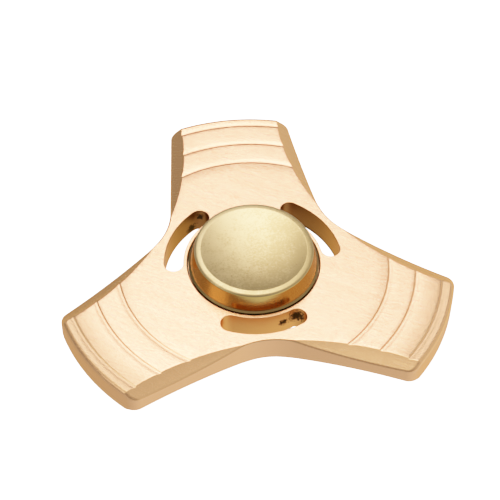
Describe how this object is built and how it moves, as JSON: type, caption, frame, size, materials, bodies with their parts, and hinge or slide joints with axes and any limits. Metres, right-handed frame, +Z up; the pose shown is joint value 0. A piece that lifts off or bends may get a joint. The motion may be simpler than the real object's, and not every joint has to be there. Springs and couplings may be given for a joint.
{
  "type": "fidget spinner",
  "caption": "Flat three-armed hand spinner: a brushed plate with grooved, bevelled arms turns on a small ball bearing between two dished thumb caps.",
  "frame": {"origin": "middle of the bearing, on the spin axis, halfway through the plate's thickness", "axes": "+Z up the spin axis, out of the top cap's dish; one arm points along +Y, the others are 120 degrees either side"},
  "size_m": [0.064, 0.0572, 0.0118],
  "materials": {
    "brushed_plate": "brushed in one direction, rose-gold anodised",
    "cap_brass": "satin dish, polished side",
    "stud_steel": "plain steel",
    "bearing_steel": "ground",
    "cage_brass": "stamped",
    "shield_steel": "rolled sheet",
    "spring_steel": "oil blackened",
    "ball_steel": "mirror polish"
  },
  "bodies": {
    "hub": {"top_cap": "cap_brass", "bottom_cap": "cap_brass", "threaded_stud": "stud_steel", "bearing_inner_ring": "bearing_steel"},
    "rotor": {"spinner_body": "brushed_plate", "bearing_outer_ring": "bearing_steel", "upper_shield": "shield_steel", "lower_shield": "shield_steel", "upper_snap_ring": "spring_steel", "lower_snap_ring": "spring_steel"},
    "cage": {"ball_cage": "cage_brass"},
    "ball_01_body": {"ball_01": "ball_steel"},
    "ball_02_body": {"ball_02": "ball_steel"},
    "ball_03_body": {"ball_03": "ball_steel"},
    "ball_04_body": {"ball_04": "ball_steel"},
    "ball_05_body": {"ball_05": "ball_steel"},
    "ball_06_body": {"ball_06": "ball_steel"},
    "ball_07_body": {"ball_07": "ball_steel"},
    "ball_08_body": {"ball_08": "ball_steel"},
    "ball_09_body": {"ball_09": "ball_steel"},
    "ball_10_body": {"ball_10": "ball_steel"}
  },
  "joints": [
    {"name": "spin", "type": "hinge", "parent": "hub", "child": "rotor", "pos_m": [0, 0, 0], "axis": [0, 0, 1], "continuous": true},
    {"name": "cage_orbit", "type": "hinge", "parent": "hub", "child": "cage", "pos_m": [0, 0, 0], "axis": [0, 0, 1], "continuous": true},
    {"name": "ball_01_spin", "type": "hinge", "parent": "cage", "child": "ball_01_body", "pos_m": [0.00385, 0.0028, 0], "axis": [0, 0, 1], "continuous": true},
    {"name": "ball_02_spin", "type": "hinge", "parent": "cage", "child": "ball_02_body", "pos_m": [0.00147, 0.00453, 0], "axis": [0, 0, 1], "continuous": true},
    {"name": "ball_03_spin", "type": "hinge", "parent": "cage", "child": "ball_03_body", "pos_m": [-0.00147, 0.00453, 0], "axis": [0, 0, 1], "continuous": true},
    {"name": "ball_04_spin", "type": "hinge", "parent": "cage", "child": "ball_04_body", "pos_m": [-0.00385, 0.0028, 0], "axis": [0, 0, 1], "continuous": true},
    {"name": "ball_05_spin", "type": "hinge", "parent": "cage", "child": "ball_05_body", "pos_m": [-0.00476, 0, 0], "axis": [0, 0, 1], "continuous": true},
    {"name": "ball_06_spin", "type": "hinge", "parent": "cage", "child": "ball_06_body", "pos_m": [-0.00385, -0.0028, 0], "axis": [0, 0, 1], "continuous": true},
    {"name": "ball_07_spin", "type": "hinge", "parent": "cage", "child": "ball_07_body", "pos_m": [-0.00147, -0.00453, 0], "axis": [0, 0, 1], "continuous": true},
    {"name": "ball_08_spin", "type": "hinge", "parent": "cage", "child": "ball_08_body", "pos_m": [0.00147, -0.00453, 0], "axis": [0, 0, 1], "continuous": true},
    {"name": "ball_09_spin", "type": "hinge", "parent": "cage", "child": "ball_09_body", "pos_m": [0.00385, -0.0028, 0], "axis": [0, 0, 1], "continuous": true},
    {"name": "ball_10_spin", "type": "hinge", "parent": "cage", "child": "ball_10_body", "pos_m": [0.00476, 0, 0], "axis": [0, 0, 1], "continuous": true}
  ],
  "couplings": [
    {"joint": "cage_orbit", "follows": "spin", "ratio": 0.58336},
    {"joint": "ball_01_spin", "follows": "spin", "ratio": 2.9157},
    {"joint": "ball_02_spin", "follows": "spin", "ratio": 2.9157},
    {"joint": "ball_03_spin", "follows": "spin", "ratio": 2.9157},
    {"joint": "ball_04_spin", "follows": "spin", "ratio": 2.9157},
    {"joint": "ball_05_spin", "follows": "spin", "ratio": 2.9157},
    {"joint": "ball_06_spin", "follows": "spin", "ratio": 2.9157},
    {"joint": "ball_07_spin", "follows": "spin", "ratio": 2.9157},
    {"joint": "ball_08_spin", "follows": "spin", "ratio": 2.9157},
    {"joint": "ball_09_spin", "follows": "spin", "ratio": 2.9157},
    {"joint": "ball_10_spin", "follows": "spin", "ratio": 2.9157}
  ]
}
